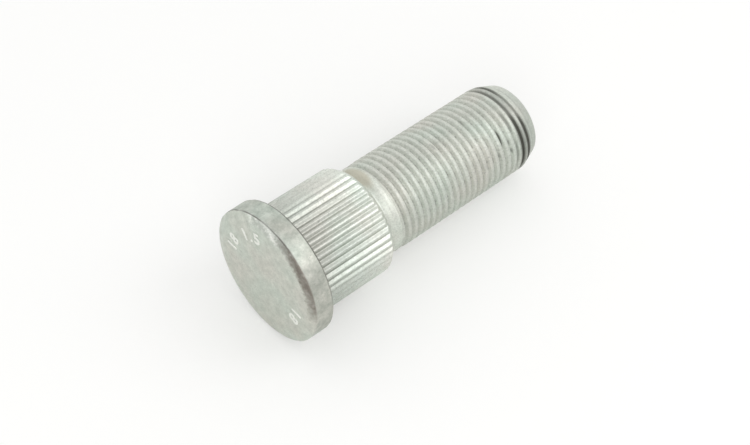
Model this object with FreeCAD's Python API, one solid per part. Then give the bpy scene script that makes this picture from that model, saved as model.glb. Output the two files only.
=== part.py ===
import FreeCAD
import Part
import math
import os

# A press-in wheel stud, often sold as a wheel bolt: one piece of steel, headed, splined and
# thread-rolled from one blank. The splines bite into the hub's hole, the head's underside
# stops against the back of the flange, and the wheel nut runs on the thread.
# Frame: the stud stands on its head. +Z is its axis, z = 0 is the head's outer face.
# All sizes are in millimetres.

# Head
head_diameter = 26.5
head_thickness = 4.7
face_bevel_width = 1.8
face_bevel_depth = 0.55
head_back_round = 0.4

# Splined shank, from the head's seat to the shoulder
spline_diameter = 21.5
spline_length = 17.0
spline_count = 46
spline_depth = 0.4
spline_crest_width = 0.36
spline_root_width = 0.1
shoulder_chamfer_width = 0.8
shoulder_chamfer_length = 1.0

# Neck, a waist that rises in a cone to the thread
neck_diameter = 16.2
neck_length = 3.3
neck_fillet = 1.0
run_in_length = 2.0

# Thread, M18 x 1.5 right hand: the cylinder over its crests, at a usual actual size.
# The fine groove itself is not cut here.
thread_diameter = 17.85
thread_length = 35.9
tip_diameter = 15.0
tip_taper_length = 3.7
tip_edge_round = 0.5

# Radii and heights worked out from the sizes above
head_radius = head_diameter / 2
spline_radius = spline_diameter / 2
neck_radius = neck_diameter / 2
thread_radius = thread_diameter / 2
tip_radius = tip_diameter / 2
shoulder_z = head_thickness + spline_length
thread_z = shoulder_z + neck_length
end_z = thread_z + thread_length

ORIGIN = FreeCAD.Vector(0, 0, 0)
AXIS = FreeCAD.Vector(0, 0, 1)


def at(radius, z):
    """A point of a profile in the XZ plane."""
    return FreeCAD.Vector(radius, 0, z)


def around(radius, degrees):
    """A point of the spline section, in the XY plane."""
    angle = math.radians(degrees)
    return FreeCAD.Vector(radius * math.cos(angle), radius * math.sin(angle), 0)


def line(start, end):
    return Part.LineSegment(start, end).toShape()


def profile_arc(centre_radius, centre_z, radius, start_degrees, end_degrees):
    """An arc of a profile, with its angles from +X towards +Z."""
    points = []
    for degrees in (start_degrees, (start_degrees + end_degrees) / 2, end_degrees):
        angle = math.radians(degrees)
        points.append(at(centre_radius + radius * math.cos(angle), centre_z + radius * math.sin(angle)))
    return Part.Arc(*points).toShape()


def turned(edges):
    """The solid that a closed profile gives when it is turned about the axis."""
    return Part.Face(Part.Wire(edges)).revolve(ORIGIN, AXIS, 360)


def make_head():
    """A flat disc with a shallow bevel round its face and a small round at its back rim."""
    rim_z = head_thickness - head_back_round
    return turned([
        line(at(0, 0), at(head_radius - face_bevel_width, 0)),
        line(at(head_radius - face_bevel_width, 0), at(head_radius, face_bevel_depth)),
        line(at(head_radius, face_bevel_depth), at(head_radius, rim_z)),
        profile_arc(head_radius - head_back_round, rim_z, head_back_round, 0, 90),
        line(at(head_radius - head_back_round, head_thickness), at(0, head_thickness)),
        line(at(0, head_thickness), at(0, 0)),
    ])


def spline_section():
    """The shank's cross-section: straight-sided ribs with a crest and a root on two circles."""
    root_radius = spline_radius - spline_depth
    step = 360 / spline_count
    half_crest = math.degrees(spline_crest_width / spline_radius) / 2
    half_root = math.degrees(spline_root_width / root_radius) / 2
    edges = []
    for index in range(spline_count):
        crest = index * step
        root = crest + step / 2
        crest_start = around(spline_radius, crest - half_crest)
        crest_end = around(spline_radius, crest + half_crest)
        root_start = around(root_radius, root - half_root)
        root_end = around(root_radius, root + half_root)
        next_crest = around(spline_radius, crest + step - half_crest)
        edges.append(Part.Arc(crest_start, around(spline_radius, crest), crest_end).toShape())
        edges.append(line(crest_end, root_start))
        edges.append(Part.Arc(root_start, around(root_radius, root), root_end).toShape())
        edges.append(line(root_end, next_crest))
    return Part.Face(Part.Wire(edges))


def make_shank():
    """The splined section, run from the seat to the shoulder, with its ribs' ends chamfered there."""
    ribs = spline_section().extrude(AXIS * spline_length)
    ribs.translate(AXIS * head_thickness)
    # The chamfer's cone runs on past the crests, so that it cuts them cleanly.
    cone_radius = spline_radius + shoulder_chamfer_width
    cone_z = shoulder_z - 2 * shoulder_chamfer_length
    envelope = turned([
        line(at(0, head_thickness), at(cone_radius, head_thickness)),
        line(at(cone_radius, head_thickness), at(cone_radius, cone_z)),
        line(at(cone_radius, cone_z), at(spline_radius - shoulder_chamfer_width, shoulder_z)),
        line(at(spline_radius - shoulder_chamfer_width, shoulder_z), at(0, shoulder_z)),
        line(at(0, shoulder_z), at(0, head_thickness)),
    ])
    return ribs.common(envelope)


def make_stem():
    """The neck, the thread's blank and its tapered, rounded end."""
    fillet_radius = neck_radius + neck_fillet
    taper = math.degrees(math.atan2(thread_radius - tip_radius, tip_taper_length))
    edge_tangent = tip_edge_round * math.tan(math.radians(90 - taper) / 2)
    edge_radius = tip_radius - edge_tangent
    edge_z = end_z - tip_edge_round
    tip_edge = profile_arc(edge_radius, edge_z, tip_edge_round, taper, 90)
    return turned([
        line(at(0, shoulder_z), at(fillet_radius, shoulder_z)),
        profile_arc(fillet_radius, shoulder_z + neck_fillet, neck_fillet, 270, 180),
        line(at(neck_radius, shoulder_z + neck_fillet), at(neck_radius, thread_z - run_in_length)),
        line(at(neck_radius, thread_z - run_in_length), at(thread_radius, thread_z)),
        line(at(thread_radius, thread_z), at(thread_radius, end_z - tip_taper_length)),
        line(at(thread_radius, end_z - tip_taper_length), tip_edge.Vertexes[0].Point),
        tip_edge,
        line(at(edge_radius, end_z), at(0, end_z)),
        line(at(0, end_z), at(0, shoulder_z)),
    ])


def make_wheel_stud():
    return make_head().fuse([make_shank(), make_stem()]).removeSplitter()


os.makedirs("parts", exist_ok=True)
make_wheel_stud().exportStep("parts/wheel_stud.step")
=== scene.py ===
import math

import bmesh
import bpy
from mathutils import Matrix, Vector, noise


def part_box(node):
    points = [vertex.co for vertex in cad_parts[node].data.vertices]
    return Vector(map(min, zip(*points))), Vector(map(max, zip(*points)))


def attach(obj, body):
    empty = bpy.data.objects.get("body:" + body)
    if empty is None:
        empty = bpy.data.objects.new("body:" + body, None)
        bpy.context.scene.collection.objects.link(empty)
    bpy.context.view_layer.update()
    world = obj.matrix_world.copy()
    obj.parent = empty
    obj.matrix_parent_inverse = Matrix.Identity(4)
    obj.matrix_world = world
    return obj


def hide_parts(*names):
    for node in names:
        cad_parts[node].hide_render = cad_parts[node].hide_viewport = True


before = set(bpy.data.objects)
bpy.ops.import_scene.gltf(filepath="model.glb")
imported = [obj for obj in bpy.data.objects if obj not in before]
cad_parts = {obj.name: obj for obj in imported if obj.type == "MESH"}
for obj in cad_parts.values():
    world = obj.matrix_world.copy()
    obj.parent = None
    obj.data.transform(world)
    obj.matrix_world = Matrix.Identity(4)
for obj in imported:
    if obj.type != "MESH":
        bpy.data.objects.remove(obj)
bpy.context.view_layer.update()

# The stud's head: a thick flat disc, upset from the end of the steel bar in a die. Its face has a
# shallow bevel all round and its edges are soft, because the die fills out round there.
# The whole stud is one mesh, grown ring by ring from the middle of this face. Sizes are in millimetres.
MM = 0.001
stud_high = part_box("wheel_stud")[1]
head_radius = stud_high.x / MM
stud_length = stud_high.z / MM
head_thickness = 4.7
face_bevel_width = 1.8
face_bevel_depth = 0.55
face_edge_round = 0.6
face_edge_steps = 3
rim_round = 0.3
rim_steps = 5
side_step = 0.2
back_round = 0.4
back_steps = 6
rib_count = 46
steps_per_rib = 16
ring_steps = rib_count * steps_per_rib

stud = bmesh.new()


def grow(mesh, ring, radius, z):
    """Extrudes a ring of edges to a new height, at a radius that may vary with the angle."""
    made = bmesh.ops.extrude_edge_only(mesh, edges=ring)["geom"]
    for vert in made:
        if isinstance(vert, bmesh.types.BMVert):
            angle = math.atan2(vert.co.y, vert.co.x)
            reach = radius(angle) if callable(radius) else radius
            vert.co = Vector((reach * math.cos(angle), reach * math.sin(angle), z)) * MM
    return [edge for edge in made if isinstance(edge, bmesh.types.BMEdge)]


def arc_points(centre_radius, centre_z, radius, start, end, steps):
    """Points of a profile along an arc, as radius and height. Angles are in degrees, from outward to up."""
    for step in range(steps + 1):
        angle = math.radians(start + (end - start) * step / steps)
        yield centre_radius + radius * math.cos(angle), centre_z + radius * math.sin(angle)


bevel_slope = math.degrees(math.atan2(face_bevel_depth, face_bevel_width))
face_radius = head_radius - face_bevel_width
face_tangent = face_edge_round * math.tan(math.radians(bevel_slope) / 2)
flat_radius = face_radius - face_tangent
rim_turn = 90 - bevel_slope
rim_tangent = rim_round * math.tan(math.radians(rim_turn) / 2)
rim_z = face_bevel_depth + rim_tangent
back_z = head_thickness - back_round

bmesh.ops.create_circle(stud, cap_ends=True, segments=ring_steps, radius=flat_radius * MM)
ring = list(stud.edges)
head_profile = [
    *arc_points(flat_radius, face_edge_round, face_edge_round, -90, -rim_turn, face_edge_steps),
    *arc_points(head_radius - rim_round, rim_z, rim_round, -rim_turn, 0, rim_steps),
    *[(head_radius, z) for z in (rim_z + side_step, (rim_z + back_z) / 2, back_z - side_step)],
    *arc_points(head_radius - back_round, back_z, back_round, 0, 90, back_steps),
]
for radius, z in head_profile[1:]:
    ring = grow(stud, ring, radius, z)

# The splined shank: straight ribs rolled into the steel, which cut into the hub's hole as the stud is
# pressed home. Their crests and roots are a little round, and their ends are chamfered at the shoulder.
rib_crest_radius = 10.75
rib_depth = 0.4
rib_crest_share = 0.24
rib_root_share = 0.07
rib_softness = 0.15
seat_fillet = 0.25
seat_fillet_shares = (0.3, 0.65, 1)
shoulder_z = 21.7
shoulder_radius = 9.95
chamfer_length = 1.0
chamfer_steps = 10
chamfer_lead = 0.05


def smooth_step(low, high, value):
    """0 below low, 1 above high, and an even curve between them."""
    share = min(max((value - low) / (high - low), 0), 1)
    return share * share * (3 - 2 * share)


def rib_radius(angle):
    """The splines' section: narrow crests, sharp roots and straight sides, with slightly round corners."""
    place = abs((angle / math.tau * rib_count + 0.5) % 1 - 0.5) * 2
    straight = min(max((place - rib_crest_share) / (1 - rib_crest_share - rib_root_share), 0), 1)
    rounded = smooth_step(rib_crest_share / 2, 1, place)
    return rib_crest_radius - rib_depth * (straight + (rounded - straight) * rib_softness)


def chamfered(z):
    """The ribs' section where the shoulder's chamfer limits it."""
    chamfer_width = rib_crest_radius - shoulder_radius
    chamfer_radius = shoulder_radius + chamfer_width * (shoulder_z - z) / chamfer_length
    return lambda angle: min(rib_radius(angle), chamfer_radius)


ring = grow(stud, ring, lambda angle: rib_radius(angle) + seat_fillet, head_thickness)
for share in seat_fillet_shares:
    fillet_angle = share * math.pi / 2
    spread = seat_fillet * (1 - math.sin(fillet_angle))
    rise = seat_fillet * (1 - math.cos(fillet_angle))
    ring = grow(stud, ring, lambda angle: rib_radius(angle) + spread, head_thickness + rise)
ring = grow(stud, ring, rib_radius, shoulder_z - chamfer_length - chamfer_lead)
for step in range(chamfer_steps + 1):
    z = shoulder_z - chamfer_length * (1 - step / chamfer_steps)
    ring = grow(stud, ring, chamfered(z), z)

# The neck: a plain waist where the rolling of the ribs and of the thread both run out. A fillet joins it
# to the shoulder, and it rises to a rounded collar where the thread begins.
neck_radius = 8.1
neck_z = 22.8
neck_fillet = 1.0
neck_fillet_steps = 8
fillet_z = shoulder_z + neck_fillet
for radius, z in arc_points(neck_radius + neck_fillet, fillet_z, neck_fillet, 270, 180, neck_fillet_steps):
    ring = grow(stud, ring, radius, z)
grow(stud, ring, neck_radius, neck_z)

# The thread: a right-hand 18 x 1.5 mm groove, rolled between dies, so its crests and roots are round.
# It fades in past the collar's fine lip and out again on the tapered end, which leads the wheel nut on.
thread_radius = 8.925
thread_pitch = 1.5
thread_depth = 0.56
flank_angle = 30
root_half_width = 0.12
corner_softness = 0.2
groove_z = 57.695
turn_steps = 120
pitch_points = 16
collar_z = 25.0
collar_radius = 8.69
collar_flat = 0.8
lip_height = 0.13
lip_half_width = 0.2
full_thread_z = 28.0
taper_z = 57.2
taper_softness = 0.08
end_radius = 7.5
end_round = 0.5
end_steps = 6
groove_begins = (collar_z + 0.05, collar_z + 0.35)
groove_ends = (taper_z + 0.8, taper_z + 2.6)
neck_gap = 0.08
level_tolerance = 1e-6
weld_distance = 1e-7


def open_edges(mesh, z):
    """The edges of the ring that is still open at height z."""
    return [
        edge for edge in mesh.edges
        if edge.is_boundary and all(abs(vert.co.z - z * MM) < level_tolerance for vert in edge.verts)
    ]


def soft_min(first, second, softness):
    """The smaller of two values, with the corner between them rounded."""
    share = min(max(0.5 + 0.5 * (second - first) / softness, 0), 1)
    return second + (first - second) * share - softness * share * (1 - share)


def groove_depth(offset):
    """The groove's depth at a distance along the axis from the middle of its root."""
    flank = thread_depth - (offset - root_half_width) / math.tan(math.radians(flank_angle))
    return -soft_min(-soft_min(flank, thread_depth, corner_softness), 0, corner_softness)


def blank_radius(z):
    """The stem without its groove: neck, collar, thread and taper."""
    waist = neck_radius + (collar_radius - neck_radius) * smooth_step(neck_z, collar_z - collar_flat, z)
    rise = (thread_radius - collar_radius) * smooth_step(collar_z - collar_flat, full_thread_z, z)
    lip = lip_height * (1 - smooth_step(0, lip_half_width, abs(z - collar_z)))
    taper = thread_radius - (thread_radius - end_radius) * (z - taper_z) / (stud_length - taper_z)
    return soft_min(waist + rise + lip, taper, taper_softness)


stem = bmesh.new()
first_groove_z = groove_z - thread_pitch * math.ceil((groove_z - neck_z) / thread_pitch + 1)
groove_profile = []
for point in range(pitch_points + 1):
    offset = thread_pitch * point / pitch_points
    depth = groove_depth(min(offset, thread_pitch - offset))
    groove_profile.append(stem.verts.new(Vector((thread_radius - depth, 0, first_groove_z + offset)) * MM))
for first, second in zip(groove_profile, groove_profile[1:]):
    stem.edges.new((first, second))
bmesh.ops.spin(stem, geom=stem.verts[:] + stem.edges[:], cent=(0, 0, 0), axis=(0, 0, 1),
               dvec=(0, 0, thread_pitch * MM / turn_steps), angle=math.tau, steps=turn_steps)
one_turn = stem.verts[:] + stem.edges[:] + stem.faces[:]
turns = math.ceil((stud_length - first_groove_z) / thread_pitch)
for turn in range(1, turns):
    next_turn = bmesh.ops.duplicate(stem, geom=one_turn)["geom"]
    moved = [item for item in next_turn if isinstance(item, bmesh.types.BMVert)]
    bmesh.ops.translate(stem, vec=(0, 0, turn * thread_pitch * MM), verts=moved)
bmesh.ops.remove_doubles(stem, verts=stem.verts[:], dist=weld_distance)
cap_z = stud_length - end_round
for cut_z, outer_side in ((neck_z + neck_gap, -1), (cap_z, 1)):
    bmesh.ops.bisect_plane(stem, geom=stem.verts[:] + stem.edges[:] + stem.faces[:],
                           plane_co=(0, 0, cut_z * MM), plane_no=(0, 0, outer_side), clear_outer=True)
groove_layer = stem.verts.layers.float.new("groove")
for vert in stem.verts:
    z = vert.co.z / MM
    reach = math.hypot(vert.co.x, vert.co.y) / MM
    groove = (thread_radius - reach) * smooth_step(*groove_begins, z) * (1 - smooth_step(*groove_ends, z))
    blank = blank_radius(z)
    deepened = min(blank, thread_radius - groove) if z > full_thread_z else blank - groove
    vert.co.x *= deepened / reach
    vert.co.y *= deepened / reach
    vert[groove_layer] = groove / thread_depth

stem_mesh = bpy.data.meshes.new("stem")
stem.to_mesh(stem_mesh)
stem.free()
stud.from_mesh(stem_mesh)
bpy.data.meshes.remove(stem_mesh)
bmesh.ops.bridge_loops(stud, edges=open_edges(stud, neck_z) + open_edges(stud, neck_z + neck_gap))
end_slope = math.degrees(math.atan2(thread_radius - end_radius, stud_length - taper_z))
cap_start = math.radians(end_slope)
cap_round = end_round / (1 - math.sin(cap_start))
cap_centre = blank_radius(cap_z) - cap_round * math.cos(cap_start)
cap_profile = list(arc_points(cap_centre, stud_length - cap_round, cap_round, end_slope, 90, end_steps))
ring = open_edges(stud, cap_z)
for radius, z in cap_profile[1:]:
    ring = grow(stud, ring, radius, z)
bmesh.ops.edgeloop_fill(stud, edges=ring)
bmesh.ops.recalc_face_normals(stud, faces=stud.faces[:])

# Dirt, wear and painted shade: grease from handling has settled in the last grooves, and painted shade
# darkens the head's rims and its seat. A nick and a few specks mark the thread, the neck has a brown tinge
# in one place, and the head's side is slightly dented. Angles are in degrees from the side that lies
# uppermost.
up_side = -58.8
spot_core = 0.6
spot_edge = 1.3
thread_marks = [
    (51.55, 13.0, 0.2, 1.9, 0.95),
    (50.2, 33.0, 0.2, 0.7, 0.5),
    (53.1, 24.0, 0.22, 0.5, 0.6),
    (53.3, 36.0, 0.2, 0.5, 0.5),
    (30.06, -0.9, 0.25, 0.35, 0.6),
    (31.82, 5.4, 0.25, 0.35, 0.6),
    (38.5, -22.0, 0.2, 0.7, 0.4),
    (46.9, -31.0, 0.2, 1.0, 0.4),
]
end_stains = [
    (57.45, 36.0, 0.9, 6.5, 1.0),
    (57.45, 0.0, 0.4, 6.0, 0.45),
    (57.45, -58.0, 0.5, 4.0, 0.8),
    (55.95, 40.0, 0.8, 8.5, 1.0),
    (55.95, -5.0, 0.45, 6.0, 0.6),
    (60.0, 35.0, 1.6, 11.0, 0.35),
    (55.95, -45.0, 0.5, 6.5, 0.65),
    (56.7, -52.0, 0.9, 5.0, 0.45),
    (56.7, -25.0, 0.9, 5.0, 0.4),
    (54.45, 48.0, 0.35, 4.0, 0.35),
    (54.45, 2.0, 0.35, 3.0, 0.45),
    (58.95, 0.0, 0.16, 9.0, 0.3),
]
stained_length = 4
stained_groove = (0.02, 0.35)
crest_stain_share = 0.62
neck_tinge = (23.6, -50.0, 1.3, 4.5, 0.8)
# Painted shade along the head's front and back rims, on stretches round the upper side, and at its seat.
rim_shade = 0.95
rim_shade_size = 2.5
rim_shade_level = 0.75
rim_shade_spread = 0.4
front_rim_width = 0.2
front_rim_heights = (rim_z - 0.2, rim_z + 0.02)
front_rim_stretch = (-65, 50, 80)
back_rim_width = 0.3
back_rim_z = back_z + 0.1
back_rim_stretch = (-10, 45, 70)
seat_shade = 0.4
dent_size = 1.6
dent_depth = 0.12
dent_start_z = 0.2
dent_start_radius = face_radius + 0.5


def turn_from(start, angle):
    """How far an angle is from a start, between -180 and 180 degrees."""
    return (angle - start + 180) % 360 - 180


def spot_share(z, angle, spot):
    """How much of a soft-edged spot lies at a height and an angle. A spot is its height, its angle, half its
    height, half its width round the stud, and its strength."""
    spot_z, spot_angle, half_height, half_width, strength = spot
    across = math.radians(turn_from(up_side + spot_angle, angle)) * thread_radius
    apart = math.hypot((z - spot_z) / half_height, across / half_width)
    return strength * (1 - smooth_step(spot_core, spot_edge, apart))


def rim_shade_share(turned, stretch):
    """How much painted shade a rim has at an angle. A stretch is its middle, and how far off it is full and
    ends.
    """
    middle, full, end = stretch
    return rim_shade * (1 - smooth_step(full, end, abs(turned - middle)))


groove_layer = stud.verts.layers.float["groove"]
soil_and_shade_layer = stud.verts.layers.float.new("soil_and_shade")
tarnish_layer = stud.verts.layers.float.new("tarnish")
for vert in stud.verts:
    z = vert.co.z / MM
    reach = math.hypot(vert.co.x, vert.co.y) / MM
    angle = math.degrees(math.atan2(vert.co.y, vert.co.x))
    turned = turn_from(up_side, angle)
    soil_and_shade = max(spot_share(z, angle, mark) for mark in thread_marks)
    patchy = rim_shade_level + rim_shade_spread * noise.noise(vert.co / (rim_shade_size * MM))
    # The rims and the seat get painted shade.
    if reach > head_radius - front_rim_width and front_rim_heights[0] < z < front_rim_heights[1]:
        soil_and_shade = patchy * rim_shade_share(turned, front_rim_stretch)
    if reach > head_radius - back_rim_width and z > back_rim_z:
        soil_and_shade = patchy * rim_shade_share(turned, back_rim_stretch)
    if abs(z - head_thickness) < seat_fillet and reach < rib_crest_radius + seat_fillet:
        soil_and_shade = seat_shade
    if z > taper_z - stained_length:
        lift = thread_pitch * turned / 360
        stained = max(spot_share(z - lift, angle, stain) for stain in end_stains)
        soil_and_shade = max(soil_and_shade, stained * max(smooth_step(*stained_groove, vert[groove_layer]), crest_stain_share))
    vert[soil_and_shade_layer] = soil_and_shade
    vert[tarnish_layer] = spot_share(z, angle, neck_tinge)
    if dent_start_z < z < head_thickness and reach > dent_start_radius:
        dent = max(noise.noise(vert.co / (dent_size * MM)) * dent_depth, 0)
        vert.co.x *= 1 - dent / head_radius
        vert.co.y *= 1 - dent / head_radius
for face in stud.faces:
    face.smooth = True
stud_mesh = bpy.data.meshes.new("wheel_stud_skin")
stud.to_mesh(stud_mesh)
stud.free()
stud_skin = bpy.data.objects.new("wheel_stud_skin", stud_mesh)
bpy.context.scene.collection.objects.link(stud_skin)

# The coat: zinc flake, dipped and baked on, a matt grey skin of tiny overlapping scales. It gives the eye
# a soft pale sheen with cloudy patches, a faint grain, and dark dirt where handling fills the last grooves.
# The real scales are too fine to show, so flake_size draws them coarser.
coat_tones = {
    "crests": ("#C4C7C0", "#D6D8D2"),
    "grooves": ("#C6C9C2", "#D8DAD4"),
    "ribs": ("#CED2CA", "#E0E3DD"),
    "face": ("#BDC1B9", "#DBDDD6"),
    "side": ("#9AA098", "#CCCEC7"),
}
coat_metallic = 0.85
cloud_size = 1.6
cloud_range = (0.3, 0.7)
crest_range = (0.0, 0.5)
seat_range = (head_thickness - 0.1, head_thickness + 0.1)
side_range = (rim_z + 0.25, rim_z - 0.1)
cool_tint = "#FAFFFC"
warm_tint = "#FFFCFA"
tint_size = 8.0
tint_range = (0.35, 0.65)
bevel_noise_size = 0.9
bevel_noise_width = 1.2
bevel_range = (face_radius, face_radius + 0.5)
# The bevel's dark stretch is painted shade and its bright stretch a painted highlight, a painted reflection
# of the room.
shaded_bevel_colour = "#7C756D"
shaded_bevel_turn = 20
shaded_bevel_noise = 0.35
shaded_bevel_range = (0.68, 0.98)
highlit_bevel_dark = "#BEC3BB"
highlit_bevel_light = "#ECEEE8"
highlit_bevel_turn = -22
highlit_bevel_noise = 0.3
highlit_bevel_range = (0.78, 0.88)
highlit_bevel_flake_range = (0.42, 0.58)
pit_colour = "#7F8079"
pit_size = 0.55
pit_range = (0.64, 0.76)
pit_strength = 0.45
grain_colour = "#9A9E96"
flake_size = 0.3
grain_range = (0.4, 0.75)
grain_strength = 0.4
head_grain_share = 0.5
tarnish_colour = "#B5B1A0"
# The dark colour of the dirt, and of the painted shade on the rims, the seat and the thread's roots.
dirt_and_shade_colour = "#5E5E58"
end_dirt_range = (0.1, 0.7)
end_dirt_strength = 0.5
end_dirt_begins = (55.2, 56.0)
end_dirt_stops = (58.6, 57.8)
end_dirt_rest = 0.1
# Painted shade in every thread root, made patchy for the roots' ragged dark specks.
root_range = (0.8, 1.0)
root_shade_range = (0.4, 0.65)
root_shade_strength = (0.1, 0.5)
flake_roughness = (0.38, 0.56)
rib_roughness_change = -0.12
thread_roughness_change = 0.08
flake_bump_strength = 0.25
flake_bump_height = 0.03


def linear(hex_colour):
    """A linear colour from an sRGB hex value."""
    parts = [int(hex_colour[place:place + 2], 16) / 255 for place in (1, 3, 5)]
    return (*[part / 12.92 if part <= 0.04045 else ((part + 0.055) / 1.055) ** 2.4 for part in parts], 1)


def add(tree, kind, links=(), **settings):
    """Adds a node, with settings on itself and links or values for its inputs. A Mix node's two colours are
    its inputs 6 and 7, and their mix is its output 2."""
    made = tree.nodes.new(kind)
    for name, value in settings.items():
        setattr(made, name, value)
    for name, value in dict(links).items():
        if isinstance(value, bpy.types.NodeSocket):
            tree.links.new(value, made.inputs[name])
        else:
            made.inputs[name].default_value = value
    return made


def side_at(turn):
    """The direction out of the stud's side at an angle from the side that lies uppermost."""
    angle = math.radians(up_side + turn)
    return Vector((math.cos(angle), math.sin(angle), 0))


coat = bpy.data.materials.new("zinc_flake_coat")
coat.use_nodes = True
tree = coat.node_tree
shader = tree.nodes["Principled BSDF"]
place = add(tree, "ShaderNodeTexCoord").outputs["Object"]
height = add(tree, "ShaderNodeSeparateXYZ", {"Vector": place}).outputs["Z"]
flat_place = add(tree, "ShaderNodeVectorMath", {
    0: place, 1: (1, 1, 0),
}, operation="MULTIPLY").outputs["Vector"]
reach = add(tree, "ShaderNodeVectorMath", {0: flat_place}, operation="LENGTH").outputs["Value"]
groove = add(tree, "ShaderNodeAttribute", attribute_name="groove").outputs["Fac"]
soil_and_shade = add(tree, "ShaderNodeAttribute", attribute_name="soil_and_shade").outputs["Fac"]
tarnish = add(tree, "ShaderNodeAttribute", attribute_name="tarnish").outputs["Fac"]
clouds = add(tree, "ShaderNodeTexNoise", {
    "Vector": place, "Scale": 1 / (cloud_size * MM), "Detail": 6.0, "Roughness": 0.7,
}).outputs["Fac"]
tints = add(tree, "ShaderNodeTexNoise", {
    "Vector": place, "Scale": 1 / (tint_size * MM), "Detail": 1.0,
}).outputs["Fac"]
bevel_noise = add(tree, "ShaderNodeTexNoise", {
    "Vector": place, "Scale": 1 / (bevel_noise_size * MM), "Detail": 4.0,
}).outputs["Fac"]
pits = add(tree, "ShaderNodeTexNoise", {
    "Vector": place, "Scale": 1 / (pit_size * MM), "Detail": 3.0,
}).outputs["Fac"]
flakes = add(tree, "ShaderNodeTexNoise", {
    "Vector": place, "Scale": 1 / (flake_size * MM), "Detail": 2.0,
}).outputs["Fac"]

# Each form has its own cloudy tone, because rolling and forging leave the steel under the coat different.
# The thread's grooves are toned a little lighter than its crests, which is painted light that evens out
# their shade.
cloudy = add(tree, "ShaderNodeMapRange", {
    "Value": clouds, "From Min": cloud_range[0], "From Max": cloud_range[1],
}).outputs["Result"]
tones = {}
for form, (dark, light) in coat_tones.items():
    tones[form] = add(tree, "ShaderNodeMix", {
        0: cloudy, 6: linear(dark), 7: linear(light),
    }, data_type="RGBA").outputs[2]
# The grooves' lighter tone than the crests' is painted light.
off_crest = add(tree, "ShaderNodeMapRange", {
    "Value": groove, "From Min": crest_range[0], "From Max": crest_range[1],
}).outputs["Result"]
threaded = add(tree, "ShaderNodeMix", {
    0: off_crest, 6: tones["crests"], 7: tones["grooves"],
}, data_type="RGBA").outputs[2]
below_collar = add(tree, "ShaderNodeMath", {
    0: height, 1: collar_z * MM,
}, operation="LESS_THAN").outputs["Value"]
rolled = add(tree, "ShaderNodeMix", {
    0: below_collar, 6: threaded, 7: tones["ribs"],
}, data_type="RGBA").outputs[2]
on_face = add(tree, "ShaderNodeMapRange", {
    "Value": height, "From Min": side_range[0] * MM, "From Max": side_range[1] * MM,
}).outputs["Result"]
headed = add(tree, "ShaderNodeMix", {
    0: on_face, 6: tones["side"], 7: tones["face"],
}, data_type="RGBA").outputs[2]
on_shank = add(tree, "ShaderNodeMapRange", {
    "Value": height, "From Min": seat_range[0] * MM, "From Max": seat_range[1] * MM,
}).outputs["Result"]
toned = add(tree, "ShaderNodeMix", {
    0: on_shank, 6: headed, 7: rolled,
}, data_type="RGBA").outputs[2]
tinted = add(tree, "ShaderNodeMapRange", {
    "Value": tints, "From Min": tint_range[0], "From Max": tint_range[1],
}).outputs["Result"]
tint = add(tree, "ShaderNodeMix", {
    0: tinted, 6: linear(cool_tint), 7: linear(warm_tint),
}, data_type="RGBA").outputs[2]
plain = add(tree, "ShaderNodeMix", {
    0: 1.0, 6: toned, 7: tint,
}, data_type="RGBA", blend_type="MULTIPLY").outputs[2]

# The head's bevel has painted shade on one stretch and a painted highlight on the next, with ragged edges:
# the dark and the bright surroundings that it reflects.
ragged = add(tree, "ShaderNodeMapRange", {
    "Value": bevel_noise, "To Min": -0.5, "To Max": 0.5,
}).outputs["Result"]
ragged_reach = add(tree, "ShaderNodeMath", {
    0: ragged, 1: bevel_noise_width * MM, 2: reach,
}, operation="MULTIPLY_ADD").outputs["Value"]
past_face = add(tree, "ShaderNodeMapRange", {
    "Value": ragged_reach, "From Min": bevel_range[0] * MM, "From Max": bevel_range[1] * MM,
}).outputs["Result"]
on_bevel = add(tree, "ShaderNodeMath", {
    0: past_face, 1: on_face,
}, operation="MULTIPLY").outputs["Value"]
bevel_light_shares = []
for turn, noise_weight, share_range in (
    (highlit_bevel_turn, highlit_bevel_noise, highlit_bevel_range),
    (shaded_bevel_turn, shaded_bevel_noise, shaded_bevel_range),
):
    towards = add(tree, "ShaderNodeVectorMath", {
        0: flat_place, 1: side_at(turn) / head_radius / MM,
    }, operation="DOT_PRODUCT").outputs["Value"]
    ragged_side = add(tree, "ShaderNodeMath", {
        0: ragged, 1: noise_weight, 2: towards,
    }, operation="MULTIPLY_ADD").outputs["Value"]
    on_stretch = add(tree, "ShaderNodeMapRange", {
        "Value": ragged_side, "From Min": share_range[0], "From Max": share_range[1],
    }).outputs["Result"]
    bevel_light_shares.append(add(tree, "ShaderNodeMath", {
        0: on_bevel, 1: on_stretch,
    }, operation="MULTIPLY").outputs["Value"])
bevel_highlight, bevel_shade = bevel_light_shares
flaky = add(tree, "ShaderNodeMapRange", {
    "Value": clouds, "From Min": highlit_bevel_flake_range[0], "From Max": highlit_bevel_flake_range[1],
}).outputs["Result"]
bevel_highlight_tone = add(tree, "ShaderNodeMix", {
    0: flaky, 6: linear(highlit_bevel_dark), 7: linear(highlit_bevel_light),
}, data_type="RGBA").outputs[2]
with_bevel_highlight = add(tree, "ShaderNodeMix", {
    0: bevel_highlight, 6: plain, 7: bevel_highlight_tone,
}, data_type="RGBA").outputs[2]
with_bevel_shade = add(tree, "ShaderNodeMix", {
    0: bevel_shade, 6: with_bevel_highlight, 7: linear(shaded_bevel_colour),
}, data_type="RGBA").outputs[2]

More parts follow.
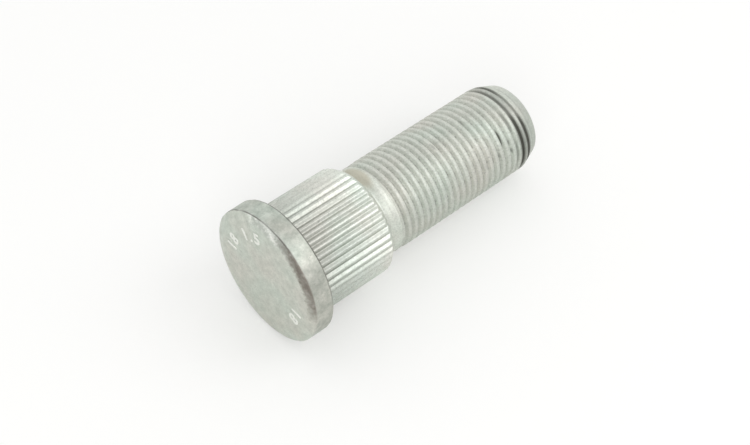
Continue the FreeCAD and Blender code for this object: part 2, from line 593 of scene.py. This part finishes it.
# Pits and grain lie over that, with less grain on the head, then the brown tinge, and on top the dirt and
# the painted shade.
pitted = add(tree, "ShaderNodeMapRange", {
    "Value": pits, "From Min": pit_range[0], "From Max": pit_range[1], "To Max": pit_strength,
}).outputs["Result"]
pocked = add(tree, "ShaderNodeMix", {
    0: pitted, 6: with_bevel_shade, 7: linear(pit_colour),
}, data_type="RGBA").outputs[2]
grainy = add(tree, "ShaderNodeMapRange", {
    "Value": flakes, "From Min": grain_range[0], "From Max": grain_range[1], "To Max": grain_strength,
}).outputs["Result"]
grain_share = add(tree, "ShaderNodeMapRange", {
    "Value": on_shank, "To Min": head_grain_share,
}).outputs["Result"]
grain = add(tree, "ShaderNodeMath", {
    0: grainy, 1: grain_share,
}, operation="MULTIPLY").outputs["Value"]
grained = add(tree, "ShaderNodeMix", {
    0: grain, 6: pocked, 7: linear(grain_colour),
}, data_type="RGBA").outputs[2]
tarnished = add(tree, "ShaderNodeMix", {
    0: tarnish, 6: grained, 7: linear(tarnish_colour),
}, data_type="RGBA").outputs[2]
deep = add(tree, "ShaderNodeMapRange", {
    "Value": groove, "From Min": end_dirt_range[0], "From Max": end_dirt_range[1],
    "To Max": end_dirt_strength,
}).outputs["Result"]
near_end = add(tree, "ShaderNodeMapRange", {
    "Value": height, "From Min": end_dirt_begins[0] * MM, "From Max": end_dirt_begins[1] * MM,
}).outputs["Result"]
before_end = add(tree, "ShaderNodeMapRange", {
    "Value": height, "From Min": end_dirt_stops[0] * MM, "From Max": end_dirt_stops[1] * MM,
    "To Min": end_dirt_rest,
}).outputs["Result"]
banded = add(tree, "ShaderNodeMath", {
    0: near_end, 1: before_end,
}, operation="MULTIPLY").outputs["Value"]
end_dirt = add(tree, "ShaderNodeMath", {
    0: deep, 1: banded,
}, operation="MULTIPLY").outputs["Value"]
# Painted shade in every thread root, made patchy for the roots' ragged dark specks.
in_root = add(tree, "ShaderNodeMapRange", {
    "Value": groove, "From Min": root_range[0], "From Max": root_range[1],
}).outputs["Result"]
patchy_root_shade = add(tree, "ShaderNodeMapRange", {
    "Value": pits, "From Min": root_shade_range[0], "From Max": root_shade_range[1],
    "To Min": root_shade_strength[0], "To Max": root_shade_strength[1],
}).outputs["Result"]
root_shade = add(tree, "ShaderNodeMath", {
    0: in_root, 1: patchy_root_shade,
}, operation="MULTIPLY").outputs["Value"]
groove_dirt_and_shade = add(tree, "ShaderNodeMath", {
    0: end_dirt, 1: root_shade,
}, operation="MAXIMUM").outputs["Value"]
dirt_and_shade = add(tree, "ShaderNodeMath", {
    0: groove_dirt_and_shade, 1: soil_and_shade,
}, operation="MAXIMUM").outputs["Value"]
dirtied_and_shaded = add(tree, "ShaderNodeMix", {
    0: dirt_and_shade, 6: tarnished, 7: linear(dirt_and_shade_colour),
}, data_type="RGBA").outputs[2]
tree.links.new(dirtied_and_shaded, shader.inputs["Base Color"])

# Rolling leaves the ribs smoother than the head, and the thread a little duller.
flake_rough = add(tree, "ShaderNodeMapRange", {
    "Value": flakes, "To Min": flake_roughness[0], "To Max": flake_roughness[1],
}).outputs["Result"]
below_shoulder = add(tree, "ShaderNodeMath", {
    0: height, 1: shoulder_z * MM,
}, operation="LESS_THAN").outputs["Value"]
on_ribs = add(tree, "ShaderNodeMath", {
    0: on_shank, 1: below_shoulder,
}, operation="MULTIPLY").outputs["Value"]
rib_rough = add(tree, "ShaderNodeMath", {
    0: on_ribs, 1: rib_roughness_change, 2: flake_rough,
}, operation="MULTIPLY_ADD").outputs["Value"]
on_thread = add(tree, "ShaderNodeMath", {
    0: height, 1: collar_z * MM,
}, operation="GREATER_THAN").outputs["Value"]
rough = add(tree, "ShaderNodeMath", {
    0: on_thread, 1: thread_roughness_change, 2: rib_rough,
}, operation="MULTIPLY_ADD").outputs["Value"]
tree.links.new(rough, shader.inputs["Roughness"])
bump = add(tree, "ShaderNodeBump", {
    "Height": flakes, "Strength": flake_bump_strength, "Distance": flake_bump_height * MM,
}).outputs["Normal"]
tree.links.new(bump, shader.inputs["Normal"])
shader.inputs["Metallic"].default_value = coat_metallic
stud_mesh.materials.append(coat)
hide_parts("wheel_stud")
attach(stud_skin, "root")

# The size mark: plain raised numbers that the die presses on the head's face, on two arcs. They stand a
# tenth of a millimetre proud, with soft edges, and their coat is rubbed bright and painted pale as a painted
# highlight, which strokes this low are too small to catch.
mark_texts = (("18  1.5", up_side - 80), ("18", up_side + 75))
mark_height = 2.3
capital_share = 0.69
mark_reach = 8.7
mark_step = 15.0
narrow_letters = ". "
narrow_share = 0.55
mark_rise = 0.05
mark_soft = 0.04
mark_soft_steps = 2
mark_bold = 0.05
mark_curve_steps = 6
# The marks' pale tones are rubbed coat and a painted highlight.
mark_light = "#F4F5F0"
mark_dark = "#E2E4DD"
mark_roughness = 0.35
face_outward = Vector((0, 0, -1))
marks = bmesh.new()
for mark_text, middle in mark_texts:
    widths = [narrow_share if letter in narrow_letters else 1 for letter in mark_text]
    for place_in_text, letter in enumerate(mark_text):
        if letter == " ":
            continue
        letter_curve = bpy.data.curves.new("letter", "FONT")
        letter_curve.body = letter
        letter_curve.align_x = "CENTER"
        letter_curve.align_y = "CENTER"
        letter_curve.size = mark_height / capital_share * MM
        letter_curve.offset = mark_bold * MM
        letter_curve.extrude = mark_rise * MM
        letter_curve.bevel_depth = mark_soft * MM
        letter_curve.bevel_resolution = mark_soft_steps
        letter_curve.resolution_u = mark_curve_steps
        letter_object = bpy.data.objects.new("letter", letter_curve)
        letter_mesh = bpy.data.meshes.new_from_object(letter_object)
        before = sum(widths[:place_in_text]) + widths[place_in_text] / 2
        angle = math.radians(middle + (before - sum(widths) / 2) * mark_step)
        outward = Vector((math.cos(angle), math.sin(angle), 0))
        letter_turn = Matrix((outward.cross(face_outward), outward, face_outward)).transposed().to_4x4()
        letter_mesh.transform(Matrix.Translation(outward * mark_reach * MM) @ letter_turn)
        marks.from_mesh(letter_mesh)
        bpy.data.objects.remove(letter_object)
        bpy.data.curves.remove(letter_curve)
        bpy.data.meshes.remove(letter_mesh)
bmesh.ops.remove_doubles(marks, verts=marks.verts[:], dist=weld_distance)
bmesh.ops.recalc_face_normals(marks, faces=marks.faces[:])
for face in marks.faces:
    face.smooth = True
marks_mesh = bpy.data.meshes.new("size_marks")
marks.to_mesh(marks_mesh)
marks.free()
highlit_mark_coat = bpy.data.materials.new("zinc_flake_with_painted_highlight")
highlit_mark_coat.use_nodes = True
tree = highlit_mark_coat.node_tree
shader = tree.nodes["Principled BSDF"]
place = add(tree, "ShaderNodeTexCoord").outputs["Object"]
mark_patches = add(tree, "ShaderNodeTexNoise", {
    "Vector": place, "Scale": 1 / (pit_size * MM), "Detail": 3.0,
}).outputs["Fac"]
mark_tone = add(tree, "ShaderNodeMix", {
    0: mark_patches, 6: linear(mark_dark), 7: linear(mark_light),
}, data_type="RGBA").outputs[2]
tree.links.new(mark_tone, shader.inputs["Base Color"])
shader.inputs["Metallic"].default_value = coat_metallic
shader.inputs["Roughness"].default_value = mark_roughness
marks_mesh.materials.append(highlit_mark_coat)
size_marks = bpy.data.objects.new("size_marks", marks_mesh)
bpy.context.scene.collection.objects.link(size_marks)
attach(size_marks, "root")

# The camera: the stud lies on its side in the photograph, so the camera is turned instead and the stud
# keeps its frame. It looks steeply down at the side of the head that is turned up, without roll.
camera_place = Vector((138.73, -228.95, -118.61))
camera_aim = Vector((3.7, -1.4, 22.8))
table_up = Vector((0, -0.9966, -0.0816))
camera_lens = 80.06
camera_data = bpy.data.cameras.new("camera")
camera_data.lens = camera_lens
camera_data.sensor_width = 36
camera_data.clip_start = 0.01
camera = bpy.data.objects.new("camera", camera_data)
look = (camera_aim - camera_place).normalized()
right = look.cross(table_up).normalized()
camera_turn = Matrix((right, right.cross(look), -look)).transposed().to_4x4()
camera.matrix_world = Matrix.Translation(camera_place * MM) @ camera_turn
bpy.context.scene.collection.objects.link(camera)
bpy.context.scene.camera = camera

# The stage: a pale sheet on the plane that the lying stud touches at its head and its thread, and a pale
# floor under the standing stud. Each shows from its upper side alone, so neither hides the other view.
sheet_colour = "#FDFDFB"
sheet_glow = 0.3
sheet_half = 1500
table_touch = Vector((0, head_radius, 4.3))
floor_touch = Vector((0, 0, -0.12))
floor_up = Vector((0, 0, 1))
paper = bpy.data.materials.new("pale_paper")
paper.use_nodes = True
tree = paper.node_tree
tree.nodes.remove(tree.nodes["Principled BSDF"])
rays = add(tree, "ShaderNodeLightPath").outputs
seen = rays["Is Camera Ray"]
for ray in ("Is Glossy Ray", "Is Transmission Ray"):
    seen = add(tree, "ShaderNodeMath", {0: seen, 1: rays[ray]}, operation="MAXIMUM").outputs["Value"]
back = add(tree, "ShaderNodeNewGeometry").outputs["Backfacing"]
shown = add(tree, "ShaderNodeMath", {
    0: seen, 1: back,
}, operation="SUBTRACT", use_clamp=True).outputs["Value"]
clear = add(tree, "ShaderNodeBsdfTransparent").outputs["BSDF"]
matt = add(tree, "ShaderNodeBsdfDiffuse", {"Color": linear(sheet_colour)}).outputs["BSDF"]
glow = add(tree, "ShaderNodeEmission", {"Color": (1, 1, 1, 1)}).outputs["Emission"]
glowing = add(tree, "ShaderNodeMath", {
    0: rays["Is Camera Ray"], 1: sheet_glow,
}, operation="MULTIPLY").outputs["Value"]
lit = add(tree, "ShaderNodeMixShader", {0: glowing, 1: matt, 2: glow}).outputs["Shader"]
sheet_look = add(tree, "ShaderNodeMixShader", {0: shown, 1: clear, 2: lit}).outputs["Shader"]
tree.links.new(sheet_look, tree.nodes["Material Output"].inputs["Surface"])
for name, touch, up in (("table", table_touch, table_up), ("floor", floor_touch, floor_up)):
    sheet = bmesh.new()
    bmesh.ops.create_grid(sheet, x_segments=1, y_segments=1, size=sheet_half * MM)
    sheet_turn = up.to_track_quat("Z", "Y").to_matrix().to_4x4()
    bmesh.ops.transform(sheet, matrix=Matrix.Translation(touch * MM) @ sheet_turn, verts=sheet.verts[:])
    sheet_mesh = bpy.data.meshes.new(name)
    sheet.to_mesh(sheet_mesh)
    sheet.free()
    sheet_mesh.materials.append(paper)
    sheet_object = bpy.data.objects.new(name, sheet_mesh)
    bpy.context.scene.collection.objects.link(sheet_object)
    sheet_object.visible_glossy = name == "table"

# The light: a white room that is a little brighter on one side, and two large soft lamps. The key lamp
# stands over the upper side, towards the thread's end, and the front lamp faces the head.
room_level = 0.76
room_unevenness = 0.15
bright_turn = -95
bright_lean = Vector((0, 0, 0.9))
lamp_distance = 900
key_turn = 3
key_tilt = 26
key_size = 640
key_power = 1.5
front_turn = 20
front_tilt = -42
front_size = 700
front_power = 2.0
world = bpy.data.worlds.new("room")
bpy.context.scene.world = world
world.use_nodes = True
tree = world.node_tree
rays = add(tree, "ShaderNodeLightPath").outputs
seen = rays["Is Camera Ray"]
for ray in ("Is Glossy Ray", "Is Transmission Ray"):
    seen = add(tree, "ShaderNodeMath", {0: seen, 1: rays[ray]}, operation="MAXIMUM").outputs["Value"]
level = add(tree, "ShaderNodeMapRange", {
    "Value": seen, "To Min": room_level, "To Max": 1.0,
}).outputs["Result"]
way = add(tree, "ShaderNodeTexCoord").outputs["Generated"]
facing_bright = add(tree, "ShaderNodeVectorMath", {
    0: way, 1: side_at(bright_turn) + bright_lean,
}, operation="DOT_PRODUCT").outputs["Value"]
uneven = add(tree, "ShaderNodeMath", {
    0: facing_bright, 1: room_unevenness, 2: level,
}, operation="MULTIPLY_ADD").outputs["Value"]
tree.nodes["Background"].inputs["Color"].default_value = (1, 1, 1, 1)
tree.links.new(uneven, tree.nodes["Background"].inputs["Strength"])
for name, turn, tilt, size, power in (
    ("key_lamp", key_turn, key_tilt, key_size, key_power),
    ("front_lamp", front_turn, front_tilt, front_size, front_power),
):
    lean = math.radians(tilt)
    direction = side_at(turn) * math.cos(lean) + Vector((0, 0, math.sin(lean)))
    lamp_data = bpy.data.lights.new(name, "AREA")
    lamp_data.shape = "DISK"
    lamp_data.size = size * MM
    lamp_data.energy = power
    lamp = bpy.data.objects.new(name, lamp_data)
    lamp.location = (camera_aim + direction * lamp_distance) * MM
    lamp.rotation_euler = (-direction).to_track_quat("-Z", "Y").to_euler()
    lamp.visible_camera = False
    bpy.context.scene.collection.objects.link(lamp)
bpy.context.scene.view_settings.view_transform = "Standard"
